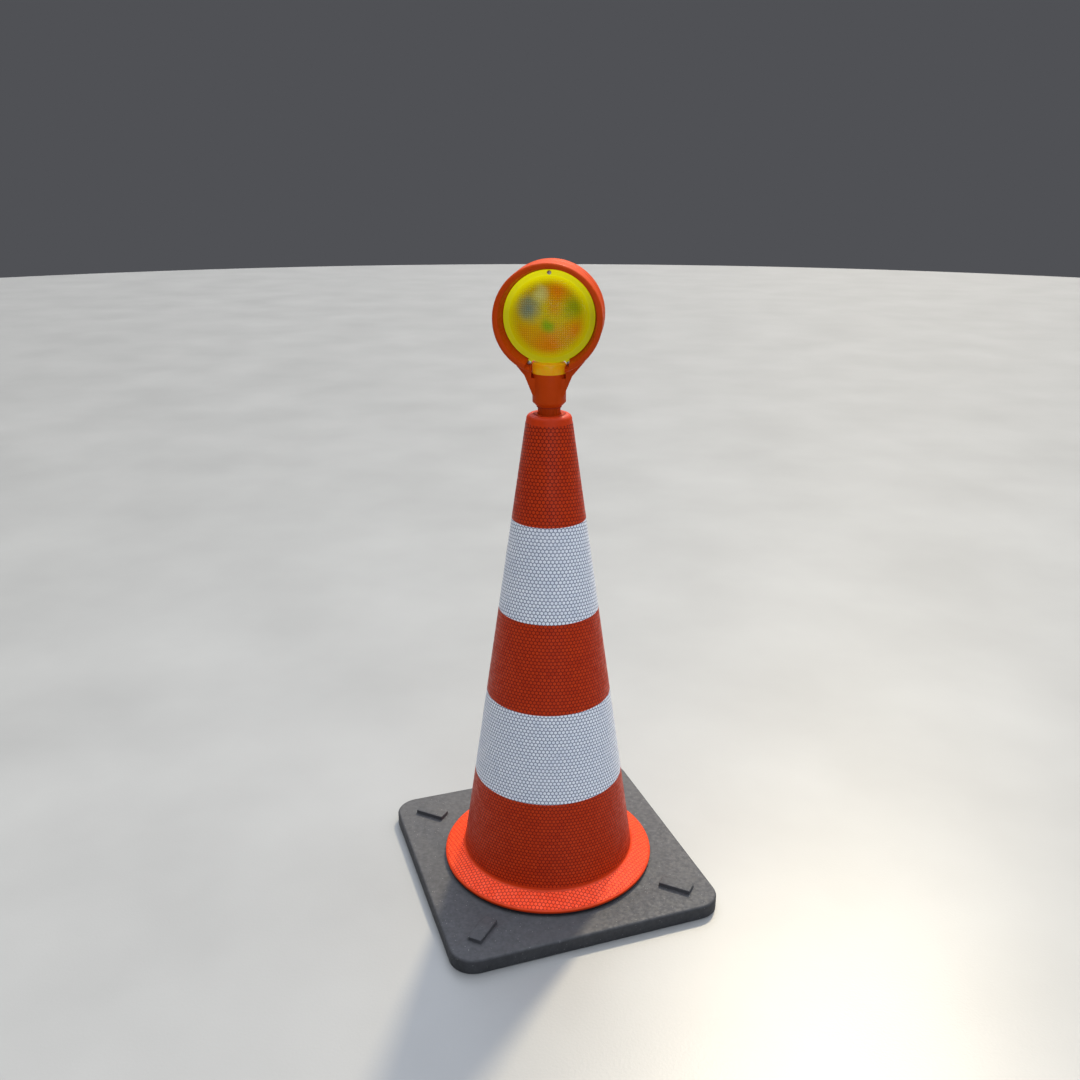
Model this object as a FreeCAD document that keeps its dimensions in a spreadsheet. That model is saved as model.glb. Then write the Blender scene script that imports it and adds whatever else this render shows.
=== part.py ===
import FreeCAD, Part
import os
import re
import Sketcher
from FreeCAD import Placement, Rotation, Vector

# A warning lamp on a traffic cone. Millimetres, +Z up, origin on the floor in
# the middle of the base. The lamp looks along -Y.

doc = FreeCAD.newDocument("cone_lamp")
sheet = doc.addObject("Spreadsheet::Sheet", "dims")

SIZES = {
    # rubber base
    "base_side": 423, "base_thickness": 23, "base_corner": 37, "base_edge": 4, "base_turn": 25,
    "boss_cover": 2, "boss_rise": 8, "lug_clear": 29.6, "lug_long": 50, "lug_wide": 22,
    "lug_rise": 7, "lug_gap": 2, "ring_recess": 10, "ring_thickness": 5, "ring_width": 14,
    # cone shell
    "cone_height": 750, "cone_top_radius": 31.3, "cone_foot_radius": 134.4, "cone_wall": 4,
    "cone_top_wall": 6, "cone_shoulder": 7.5, "flange_over": 14.4, "flange_edge": 4,
    "flange_lift": 1, "flange_rise": 13.5, "spigot_step": 1.6, "spigot_end": 5, "spigot_gap": 0.5,
    # retroreflective sheeting
    "sheet_thickness": 0.4, "sheet_top_gap": 12, "sheet_foot_gap": 4.5, "top_band": 141,
    "upper_white_band": 140, "middle_band": 136, "lower_white_band": 138, "flange_sheet_gap": 3,
    # swivel socket in the top of the cone
    "grommet_lip": 2.4, "grommet_step": 3, "grommet_wall": 3.54, "socket_wall": 3.15,
    "socket_rim": 1.4, "socket_length": 48, "socket_seat": 7, "running_gap": 0.06,
    "slide_gap": 0.35,
    # stem and battery
    "stem_wall": 1.9, "stem_short": 5, "stem_stop": 1.5, "stem_stop_rise": 3.5, "stop_gap": 0.4,
    "rib_count": 18, "rib_depth": 0.5, "rib_width": 1.4,
    "cell_count": 3, "cell_radius": 13.1, "cell_room": 0.5, "cell_length": 48.4,
    "cell_nub_radius": 3.3, "cell_nub": 1.4, "cell_gap": 0.2,
    "spring_space": 15, "spring_turns": 5, "spring_radius": 8, "spring_wire": 0.7,
    "cap_head": 6, "cap_plug": 9, "cap_ring_section": 1.2, "cap_vent": 1,
    "driver_space": 49, "driver_room": 2, "chip_count": 3, "chip_size": 5, "chip_rise": 2,
    "chip_pitch": 9,
    # lamp head
    "lens_radius": 63, "lens_edge": 2.5, "lens_rim": 8, "lens_rise": 17, "lens_wall": 2.5,
    "throat_gap": 0.6, "bezel_draft": 3.3, "bezel_rim": 7.5, "bezel_depth": 36, "bezel_round": 4,
    "ledge_width": 7, "ledge_thickness": 2.4, "seal_thickness": 1,
    "neck_rise": 11, "neck_bevel": 6, "neck_length": 40.5, "neck_wall": 8,
    "neck_gap": 0.5, "mouth_wall": 2.1, "mouth_seal": 1.5, "well_step": 1,
    "foot_rise": 14.5, "foot_overlap": 1, "foot_round": 3, "foot_wall": 2.5,
    "web_half": 15, "web_inset": 2, "web_start": 10.5, "web_kink": 9.5, "web_kink_drop": 2,
    "web_spread": 26.5, "web_rise": 4, "notch_rise": 8, "notch_drop": 6, "slot_past": 2,
    # screws
    "screw_inset": 4, "screw_radius": 1.5, "screw_head": 2.8, "screw_head_thickness": 2,
    "ear_radius": 3, "ear_out": 5, "ear_clear": 0.8,
    "web_screw_out": 3.7, "web_screw_drop": 5.5, "web_screw_depth": 9,
    # light source
    "board_radius": 19.5, "board_thickness": 1.6, "stalk_width": 8, "stalk_drop": 4,
    "stalk_lap": 2, "led_radius": 2.5, "led_ring": 9, "dish_gap": 0.4, "dish_lip": 7.6,
    "dish_rise": 4, "dish_wall": 1.2, "board_gap": 0.5, "lead_radius": 1, "lead_joint": 6,
    "lead_apart": 2.5, "lead_slot": 10,
    # switch on the back of the neck
    "switch_drop": 19, "button_radius": 5, "button_proud": 3.2, "button_flange": 1.4,
    "button_web": 1, "switch_deep": 3, "switch_disc": 6, "switch_disc_thickness": 1,
    "switch_rim": 1.6,
    # how far a cutting tool runs past what it cuts
    "overrun": 1,
}

# sizes that follow from others, so that what fits together stays together
FITS = {
    # base and cone, from the floor up and from the cone's foot outwards
    "spigot_radius": "cone_foot_radius+spigot_step",
    "ring_radius": "spigot_radius+ring_width",
    "boss_radius": "ring_radius+boss_cover",
    "flange_radius": "boss_radius+flange_over",
    "landing": "base_thickness+boss_rise",
    "flange_edge_height": "landing+flange_lift",
    "cone_foot_height": "flange_edge_height+flange_rise",
    "under_top": "cone_height-cone_top_wall",
    "lug_near": "flange_radius+lug_clear",
    # bands of sheeting, from the top down
    "sheet_top": "cone_height-sheet_top_gap",
    "upper_white_top": "sheet_top-top_band",
    "middle_top": "upper_white_top-upper_white_band",
    "lower_white_top": "middle_top-middle_band",
    "bottom_top": "lower_white_top-lower_white_band",
    "sheet_bottom": "cone_foot_height+sheet_foot_gap",
    # a cell sets the stem's bore, and the stem sets the socket, grommet, hole and neck
    "stem_bore": "cell_radius+cell_room",
    "stem_radius": "stem_bore+stem_wall",
    "stem_stop_radius": "stem_radius+stem_stop",
    "socket_bore": "stem_radius+slide_gap",
    "socket_radius": "socket_bore+socket_wall",
    "socket_rim_radius": "socket_radius+socket_rim",
    "socket_seat_radius": "stem_stop_radius+stop_gap",
    "grommet_bore": "socket_radius+running_gap",
    "top_hole_radius": "grommet_bore+grommet_wall",
    "stem_seat": "cone_height-socket_seat",
    "foot_radius": "stem_radius+neck_wall",
    "neck_mouth_radius": "stem_radius+mouth_wall",
    # lamp head, from the cone's top up and from the lens outwards
    "neck_mouth": "cone_height+neck_rise",
    "neck_bottom": "neck_mouth+neck_bevel",
    "neck_top": "neck_bottom+neck_length",
    "foot_top": "neck_top+foot_rise",
    "lamp_height": "foot_top+lens_radius-foot_overlap",
    "stem_top": "neck_top-stem_short",
    "bezel_throat": "lens_radius+throat_gap",
    "bezel_mouth": "bezel_throat+bezel_draft",
    "bezel_radius": "bezel_mouth+bezel_rim",
    "ledge_radius": "lens_radius-ledge_width",
    "lens_dome": "lens_radius-lens_rim",
    "lens_face": "ledge_thickness+seal_thickness+lens_edge",
    "screw_ring": "lens_radius-screw_inset",
    "ear_ring": "lens_radius+ear_out",
    # sine of the ears' angle from straight down: their screws stand clear of the foot
    "ear_sine": "(foot_radius+screw_head+ear_clear)/ear_ring",
    "web_low": "neck_bottom+web_start",
    "web_kink_out": "foot_radius+web_kink",
    "web_kink_height": "neck_top-web_kink_drop",
    "web_out": "foot_radius+web_spread",
    "web_high": "foot_top+web_rise",
    "dish_edge": "ledge_radius-dish_gap",
    "dish_rim": "dish_edge-dish_lip",
    "dish_flat": "board_radius+board_gap",
    "switch_height": "neck_top-switch_drop",
    "switch_face": "foot_radius-switch_deep",
    "switch_room_radius": "button_radius+button_flange",
    # battery, from the stem's top down
    "cell_step": "cell_length+cell_nub+cell_gap",
    "cell_top": "stem_top-driver_space",
    "cell_floor": "cell_top-cell_count*cell_step",
    "stem_bottom": "cell_floor-spring_space",
    "cap_bore": "stem_bore-running_gap",
}
for row, (alias, number) in enumerate(SIZES.items(), start=1):
    sheet.set(f"A{row}", alias)
    sheet.set(f"B{row}", str(number))
    sheet.setAlias(f"B{row}", alias)
doc.recompute()

FRONT = Rotation(Vector(1, 0, 0), 90)     # turns a piece built along +Z to point along -Y
BACK = Rotation(Vector(1, 0, 0), -90)     # and this one to point along +Y
TURNS = {"front": FRONT, "back": BACK, "up": Rotation()}
parts = []                                # the finished sub-parts


def dims(text):
    """Write an expression: a word that names a fit or a cell becomes what it stands for."""
    def swap(word):
        if word[0] in FITS:
            return f"({dims(FITS[word[0]])})"
        return f"dims.{word[0]}" if word[0] in SIZES else word[0]
    return re.sub("[a-z_]+", swap, text)


def size(text):
    """The number that an expression comes to."""
    return float(sheet.evalExpression(dims(text)))


def bind(thing, **expressions):
    for name, text in expressions.items():
        thing.setExpression(name.replace("__", "."), dims(text))


def place(thing, x="0", y="0", z="0", way="up"):
    """Turn a piece and bind its position."""
    thing.Placement = Placement(Vector(), TURNS[way])
    for axis, text in (("x", x), ("y", y), ("z", z)):
        if text != "0":
            thing.setExpression(f"Placement.Base.{axis}", dims(text))
    return thing


def cylinder(name, radius, height, **where):
    thing = doc.addObject("Part::Cylinder", name)
    bind(thing, Radius=radius, Height=height)
    return place(thing, **where)


def taper(name, near, far, height, **where):
    thing = doc.addObject("Part::Cone", name)
    bind(thing, Radius1=near, Radius2=far, Height=height)
    return place(thing, **where)


def ball(name, radius, **where):
    thing = doc.addObject("Part::Sphere", name)
    bind(thing, Radius=radius)
    return place(thing, **where)


def block(name, long, wide, high, x, y, z):
    """A box whose x and y are its middle and whose z is its underside."""
    thing = doc.addObject("Part::Box", name)
    bind(thing, Length=long, Width=wide, Height=high)
    return place(thing, x=f"{x}-({long})/2", y=f"{y}-({wide})/2", z=z)


def fuse(name, *pieces):
    thing = doc.addObject("Part::MultiFuse", name)
    thing.Shapes = list(pieces)
    return thing


def cut(name, base, *tools):
    thing = doc.addObject("Part::Cut", name)
    thing.Base = base
    thing.Tool = tools[0] if len(tools) == 1 else fuse(f"{name}_tools", *tools)
    return thing


def common(name, one, other):
    thing = doc.addObject("Part::Common", name)
    thing.Base = one
    thing.Tool = other
    return thing


def group(name, pieces):
    """Pieces that stay separate solids in one node."""
    thing = doc.addObject("Part::Compound", name)
    thing.Links = list(pieces)
    return thing


def rounded(name, base, radius, wanted):
    """Round the edges of base that the function wanted picks, to a radius in millimetres."""
    doc.recompute()
    thing = doc.addObject("Part::Fillet", name)
    thing.Base = base
    chosen = [i for i, edge in enumerate(base.Shape.Edges, start=1) if wanted(edge)]
    if not chosen:
        raise ValueError(f"{name}: no edge to round")
    thing.Edges = [(i, radius, radius) for i in chosen]
    return thing


def ring_edge(radius, height, axis="z"):
    """True for a round edge of this radius at this height along the axis."""
    def wanted(edge):
        centre = getattr(edge.Curve, "Center", None)
        if centre is None or not hasattr(edge.Curve, "Radius"):
            return False
        return abs(edge.Curve.Radius - radius) < 0.01 and abs(getattr(centre, axis) - height) < 0.01
    return wanted


def plane_of(body, role):
    for feature in body.Origin.OriginFeatures:
        if feature.Role == role:
            return feature
    raise ValueError(role)


def outline(body, name, points, role="XZ_Plane"):
    """A closed sketch through points whose coordinates are expressions."""
    sketch = body.newObject("Sketcher::SketchObject", name)
    sketch.AttachmentSupport = [(plane_of(body, role), "")]
    sketch.MapMode = "FlatFace"
    values = [Vector(size(across), size(along), 0) for across, along in points]
    count = len(points)
    for i in range(count):
        sketch.addGeometry(Part.LineSegment(values[i], values[(i + 1) % count]), False)
    for i in range(count):
        sketch.addConstraint(Sketcher.Constraint("Coincident", i, 2, (i + 1) % count, 1))
    for i, (across, along) in enumerate(points):
        for kind, text, value in (("DistanceX", across, values[i].x),
                                  ("DistanceY", along, values[i].y)):
            number = sketch.addConstraint(Sketcher.Constraint(kind, -1, 1, i, 1, value))
            sketch.setExpression(f"Constraints[{number}]", dims(text))
    return sketch


def body_of(label):
    body = doc.addObject("PartDesign::Body", f"{label}_body")
    body.Label = label
    return body


def turned(label, points):
    """A body turned on the Z axis: points are radius and height."""
    body = body_of(label)
    profile = outline(body, f"{label}_profile", points)
    feature = body.newObject("PartDesign::Revolution", f"{label}_turned")
    feature.Profile = profile
    feature.ReferenceAxis = (profile, ["V_Axis"])
    feature.Angle = 360
    body.Tip = feature
    return body


def keep(thing, label=None):
    """List a finished sub-part under the name of its node."""
    if label:
        thing.Label = label
    parts.append(thing)
    return thing


# ---------------------------------------------------------------- base

def cone_radius(height, out="0"):
    """The cone's outer radius at a height, plus a distance outwards."""
    slope = "(cone_foot_radius-cone_top_radius)/(cone_height-cone_foot_height)"
    return f"cone_foot_radius-{slope}*({height}-cone_foot_height)+({out})"


def base_plate():
    body = body_of("base_plate")
    half = "base_side/2"
    corners = [(f"-{half}", f"-{half}"), (half, f"-{half}"), (half, half), (f"-{half}", half)]
    slab = body.newObject("PartDesign::Pad", "base_slab")
    slab.Profile = outline(body, "base_square", corners, "XY_Plane")
    bind(slab, Length="base_thickness")
    doc.recompute()
    uprights = [i for i, edge in enumerate(slab.Shape.Edges, start=1)
                if abs(edge.tangentAt(edge.FirstParameter).z) > 0.99]
    corner = body.newObject("PartDesign::Fillet", "base_corners")
    corner.Base = (slab, [f"Edge{i}" for i in uprights])
    bind(corner, Radius="base_corner")
    doc.recompute()
    top = size("base_thickness")
    rim = [i for i, edge in enumerate(corner.Shape.Edges, start=1)
           if abs(edge.BoundBox.ZMin - top) < 0.01 and abs(edge.BoundBox.ZMax - top) < 0.01]
    edge_round = body.newObject("PartDesign::Fillet", "base_rim")
    edge_round.Base = (corner, [f"Edge{i}" for i in rim])
    bind(edge_round, Radius="base_edge")
    body.Tip = edge_round

    # raised landing for the cone's flange, and the hole that its spigot goes through
    landing = cylinder("base_landing", "boss_radius", "boss_rise", z="base_thickness")
    # one stacking lug and the pocket below it for the lug of the next cone, on each corner
    lugs, pockets = [], []
    for i in range(4):
        lug = doc.addObject("Part::Box", f"lug{i}")
        bind(lug, Length="lug_long", Width="lug_wide", Height="lug_rise+base_edge")
        pocket = doc.addObject("Part::Box", f"lug_pocket{i}")
        bind(pocket, Length="lug_long+2*lug_gap", Width="lug_wide+2*lug_gap",
             Height="lug_rise+lug_gap")
        angle = 45 + 90 * i
        for thing, gap, low in ((lug, "0", "base_thickness-base_edge"),
                                (pocket, "lug_gap", "0")):
            near = f"(lug_near-{gap})"
            side = f"(lug_wide/2+{gap})"
            thing.Placement = Placement(Vector(), Rotation(Vector(0, 0, 1), angle))
            bind(thing, Placement__Base__x=f"{near}*cos({angle})+{side}*sin({angle})",
                 Placement__Base__y=f"{near}*sin({angle})-{side}*cos({angle})",
                 Placement__Base__z=low)
        lugs.append(lug)
        pockets.append(pocket)
    solid = fuse("base_solid", body, landing, *lugs)
    hole = cylinder("spigot_hole", "spigot_radius+spigot_gap", "landing+2*overrun", z="-overrun")
    recess = cylinder("ring_recess_tool", "ring_radius+spigot_gap", "ring_recess+overrun",
                      z="-overrun")
    plate = cut("base_plate_cut", solid, hole, recess, *pockets)
    body.Label = "base_slab_body"
    plate.Placement = Placement(Vector(), Rotation(Vector(0, 0, 1), size("base_turn")))
    bind(plate, Placement__Rotation__Angle="base_turn")
    keep(plate, "base_plate")


def retaining_ring():
    """Ring that locks the spigot under the base."""
    low, high = "ring_recess-ring_thickness", "ring_recess"
    keep(turned("retaining_ring", [
        ("spigot_radius", low), ("ring_radius", low),
        ("ring_radius", high), ("spigot_radius", high)]))


# ---------------------------------------------------------------- cone

def cone_body():
    shell = turned("cone_shell", [
        ("spigot_radius", "spigot_end"),
        ("spigot_radius", "landing"),
        ("boss_radius", "landing"),
        ("flange_radius", "flange_edge_height-flange_edge"),
        ("flange_radius", "flange_edge_height"),
        ("cone_foot_radius", "cone_foot_height"),
        ("cone_top_radius", "cone_height"),
        ("top_hole_radius", "cone_height"),
        ("top_hole_radius", "under_top"),
        (cone_radius("under_top", "-cone_wall"), "under_top"),
        ("cone_foot_radius-cone_wall", "cone_foot_height"),
        ("spigot_radius-cone_wall", "spigot_end")])
    # the shoulder is limited by the land that the hole leaves round it
    shoulder = min(size("cone_shoulder"), 0.9 * size("cone_top_radius-top_hole_radius"))
    keep(rounded("cone_body_round", shell, shoulder,
                 ring_edge(size("cone_top_radius"), size("cone_height"))), "cone_body")


def sheeting(label, high, low):
    """One band of sheeting wrapped round the cone."""
    keep(turned(label, [
        (cone_radius(low), low), (cone_radius(low, "sheet_thickness"), low),
        (cone_radius(high, "sheet_thickness"), high), (cone_radius(high), high)]))


def all_sheeting():
    sheeting("top_orange_band", "sheet_top", "upper_white_top")
    sheeting("upper_white_band", "upper_white_top", "middle_top")
    sheeting("middle_orange_band", "middle_top", "lower_white_top")
    sheeting("lower_white_band", "lower_white_top", "bottom_top")
    sheeting("bottom_orange_band", "bottom_top", "sheet_bottom")
    # the flange's own band lies on its slope
    slope = "(cone_foot_height-flange_edge_height)/(flange_radius-cone_foot_radius)"
    inner, outer = "(cone_foot_radius+flange_sheet_gap)", "(flange_radius-flange_sheet_gap)"
    inner_height = f"cone_foot_height-flange_sheet_gap*{slope}"
    outer_height = f"flange_edge_height+flange_sheet_gap*{slope}"
    keep(turned("flange_band", [
        (inner, inner_height), (outer, outer_height),
        (outer, f"{outer_height}+sheet_thickness"), (inner, f"{inner_height}+sheet_thickness")]))


# ---------------------------------------------------------------- socket in the cone's top

def cone_grommet():
    """Rubber bush in the cone's top hole, stepped for the socket's rim."""
    low = "under_top-grommet_step"
    step = "cone_height-grommet_step"
    keep(turned("cone_grommet", [
        ("grommet_bore", low), ("top_hole_radius+grommet_lip", low),
        ("top_hole_radius+grommet_lip", "under_top"), ("top_hole_radius", "under_top"),
        ("top_hole_radius", "cone_height"), ("socket_rim_radius+slide_gap", "cone_height"),
        ("socket_rim_radius+slide_gap", step), ("grommet_bore", step)]))


def swivel_socket():
    """Tube that turns in the grommet; the stem's stop sits on its inner step."""
    rim_low = "cone_height-grommet_step+slide_gap"
    low = "cone_height-socket_length"
    keep(turned("swivel_socket", [
        ("socket_bore", low), ("socket_radius", low),
        ("socket_radius", rim_low), ("socket_rim_radius", rim_low),
        ("socket_rim_radius", "cone_height"), ("socket_seat_radius", "cone_height"),
        ("socket_seat_radius", "stem_seat"), ("socket_bore", "stem_seat")]))


# ---------------------------------------------------------------- stem and battery

def stem_tube():
    """Battery tube with a stop near the cone's top and fine ribs above it."""
    stop_top = "stem_seat+stem_stop_rise"
    tube = turned("stem_tube_turned", [
        ("stem_bore", "stem_bottom"), ("stem_radius", "stem_bottom"),
        ("stem_radius", "stem_seat"), ("stem_stop_radius", "stem_seat"),
        ("stem_stop_radius", stop_top), ("stem_radius", stop_top),
        ("stem_radius", "stem_top"), ("stem_bore", "stem_top")])
    ribs = []
    rib_count = int(size("rib_count"))
    near = "(stem_radius-stem_wall/2)"
    for i in range(rib_count):
        rib = doc.addObject("Part::Box", f"stem_rib{i}")
        bind(rib, Length="stem_wall/2+rib_depth", Width="rib_width",
             Height=f"neck_mouth-({stop_top})")
        angle = 360 / rib_count * i
        rib.Placement = Placement(Vector(), Rotation(Vector(0, 0, 1), angle))
        bind(rib, Placement__Base__x=f"{near}*cos({angle})+rib_width/2*sin({angle})",
             Placement__Base__y=f"{near}*sin({angle})-rib_width/2*cos({angle})",
             Placement__Base__z=stop_top)
        ribs.append(rib)
    keep(fuse("stem_tube_ribbed", tube, *ribs), "stem_tube")


def stem_cap():
    """Vented plug with a bayonet that closes the tube, with a groove for its seal."""
    groove = "(cap_bore-2*cap_ring_section)"
    head = "stem_bottom-cap_head"
    top = "stem_bottom+cap_plug"
    middle = "stem_bottom+cap_plug/2"
    keep(turned("stem_cap", [
        ("cap_vent", head), ("stem_radius", head), ("stem_radius", "stem_bottom-slide_gap"),
        ("cap_bore", "stem_bottom-slide_gap"), ("cap_bore", f"{middle}-cap_ring_section"),
        (groove, f"{middle}-cap_ring_section"), (groove, f"{middle}+cap_ring_section"),
        ("cap_bore", f"{middle}+cap_ring_section"), ("cap_bore", top), ("cap_vent", top)]))
    seal = doc.addObject("Part::Torus", "cap_seal_ring")
    bind(seal, Radius1=f"{groove}+cap_ring_section", Radius2="cap_ring_section")
    keep(place(seal, z=middle), "cap_seal")


def battery():
    """Three cells in line, with the spring that the cap presses up against them."""
    cells = []
    for i in range(int(size("cell_count"))):
        low = f"cell_floor+{i}*cell_step"
        can = cylinder(f"cell{i}_can", "cell_radius", "cell_length", z=low)
        nub = cylinder(f"cell{i}_nub", "cell_nub_radius", "cell_nub", z=f"{low}+cell_length")
        cells.append(fuse(f"cell{i}", can, nub))
    keep(group("cells", cells), "battery_cells")
    # the spring is pressed until its turns meet
    coil_low = "(stem_bottom+cap_plug+spring_wire+cell_gap)"
    coil_high = "(cell_floor-spring_wire-cell_gap)"
    last = int(size("spring_turns")) - 1
    turns = []
    for i in range(last + 1):
        turn = doc.addObject("Part::Torus", f"spring_turn{i}")
        bind(turn, Radius1="spring_radius", Radius2="spring_wire")
        turns.append(place(turn, z=f"{coil_low}+{i}*({coil_high}-{coil_low})/{last}"))
    keep(fuse("spring_coil", *turns), "battery_spring")
    keep(cylinder("contact_disc", "stem_bore", "spring_wire", z="cell_top"), "top_contact")


def driver():
    """The board that flashes the lamp, upright in the tube above the cells."""
    low = "cell_top+2*spring_wire"
    keep(block("driver_plate", "2*(stem_bore-driver_room)", "board_thickness",
               "driver_space-3*spring_wire", "0", "0", low), "driver_board")
    chips = []
    for i in range(int(size("chip_count"))):
        chips.append(block(f"chip{i}", "chip_size", "chip_rise", "chip_size", "0",
                           "(board_thickness+chip_rise)/2", f"{low}+chip_size+{i}*chip_pitch"))
    keep(group("chips", chips), "driver_parts")


# ---------------------------------------------------------------- lamp head

def headward(distance, side):
    """y of a plane this far in front of the lamp's middle, or behind it."""
    return f"-({distance})" if side == "front" else distance


def half_space(name, side, gap="0"):
    """A box that holds everything on one side of the lamp's middle plane."""
    thing = doc.addObject("Part::Box", name)
    bind(thing, Length="8*bezel_radius", Width="2*bezel_depth", Height="8*bezel_radius")
    y = f"-2*bezel_depth-({gap})" if side == "front" else gap
    return place(thing, x="-4*bezel_radius", y=y, z="lamp_height-4*bezel_radius")


def housing_block(side):
    """The solid outside of one half: bezel drum, neck and the webs between them."""
    drum = cylinder(f"{side}_drum", "bezel_radius", "bezel_depth", z="lamp_height", way=side)
    doc.recompute()
    drum = rounded(f"{side}_drum_round", drum, size("bezel_round"),
                   ring_edge(size("bezel_radius"), size(headward("bezel_depth", side)), "y"))
    mouth = taper(f"{side}_mouth", "bezel_throat", "bezel_mouth",
                  "bezel_depth-ledge_thickness", z="lamp_height",
                  y=headward("ledge_thickness", side), way=side)
    inside = cylinder(f"{side}_inside", "ledge_radius", "bezel_depth", z="lamp_height", way=side)
    # the drum is open below, where the neck and the lens foot stand, up through the ledge
    drum_low = "(lamp_height-bezel_radius-overrun)"
    slot = block(f"{side}_slot", "2*(foot_radius+neck_gap)", "4*bezel_depth",
                 f"lamp_height-ledge_radius+slot_past-{drum_low}", "0", "0", drum_low)
    ring = cut(f"{side}_ring", drum, mouth, inside, slot)
    body = body_of(f"{side}_web_body")
    web = body.newObject("PartDesign::Pad", f"{side}_web_pad")
    web.Profile = outline(body, f"{side}_web_outline", [
        ("-foot_radius+web_inset", "web_low"), ("foot_radius-web_inset", "web_low"),
        ("web_kink_out", "web_kink_height"), ("web_out", "web_high"),
        ("foot_radius+neck_gap", "neck_top+notch_rise"),
        ("foot_radius+neck_gap", "neck_top-notch_drop"),
        ("-foot_radius-neck_gap", "neck_top-notch_drop"),
        ("-foot_radius-neck_gap", "neck_top+notch_rise"),
        ("-web_out", "web_high"), ("-web_kink_out", "web_kink_height")])
    bind(web, Length="2*web_half")
    web.Midplane = True
    body.Tip = web
    neck = cylinder(f"{side}_neck", "foot_radius", "neck_length", z="neck_bottom")
    bevel = taper(f"{side}_bevel", "neck_mouth_radius", "foot_radius", "neck_bevel",
                  z="neck_mouth")
    clear = cylinder(f"{side}_lens_room", "lens_radius+slide_gap", "lens_edge+seal_thickness",
                     z="lamp_height", y=headward("ledge_thickness", side), way=side)
    # pockets in the bezel let the ears in, and a screwdriver
    pockets = ears("pocket", side, "ear_radius+slide_gap", "ledge_thickness", "bezel_depth")
    outside = fuse(f"{side}_outside", ring, body, neck, bevel)
    bore = cylinder(f"{side}_bore", "stem_radius+running_gap",
                    "stem_top-neck_mouth+2*overrun", z="neck_mouth-overrun")
    well = cylinder(f"{side}_well", "foot_radius-foot_wall-well_step",
                    "stem_short+overrun", z="stem_top")
    return cut(f"{side}_hollow", outside, bore, well, clear, *pockets)


def housing(side):
    hollow = housing_block(side)
    half = common(f"{side}_half", hollow, half_space(f"{side}_side", side))
    holes = screw_holes(side)
    for i, (across, height) in enumerate(web_spots()):
        holes.append(cylinder(f"{side}_web_hole{i}", "screw_radius", "web_half+web_screw_depth",
                              x=across, z=height, y="-web_screw_depth", way="back"))
    if side == "back":
        inside = "(stem_radius-overrun)"
        holes.append(cylinder("switch_hole", "button_radius+slide_gap", "foot_radius",
                              z="switch_height", y=inside, way="back"))
        holes.append(cylinder("switch_room", "switch_room_radius+slide_gap",
                              f"switch_face-{inside}", z="switch_height", y=inside, way="back"))
    label = "front_housing" if side == "front" else "rear_housing"
    keep(cut(f"{side}_housing_cut", half, *holes), label)


def ear_spots(ring):
    """Expressions for the two low ears of a lens, one on each side of the foot."""
    across, up = f"({ring})*ear_sine", f"-({ring})*sqrt(1-ear_sine*ear_sine)"
    return [(across, up), (f"-{across}", up)]


def screw_spots():
    """Expressions for the lens screws: one above, in the rim, and one in each low ear."""
    return [("0", "screw_ring")] + ear_spots("ear_ring")


def ears(name, side, radius, start, long):
    """The ears' outline: two rounds beside each other reach from the rim to each low screw."""
    rounds = []
    for ring in ("ear_ring", "lens_radius+ear_out/3"):
        for across, up in ear_spots(ring):
            rounds.append(cylinder(f"{side}_{name}{len(rounds)}", radius, long, x=across,
                                   z=f"lamp_height+({up})", y=headward(start, side), way=side))
    return rounds


def screw_holes(side):
    holes = []
    for i, (across, up) in enumerate(screw_spots()):
        holes.append(cylinder(f"{side}_lens_screw_hole{i}", "screw_radius", "ledge_thickness+overrun",
                              x=across, z=f"lamp_height+({up})", way=side))
    return holes


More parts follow.
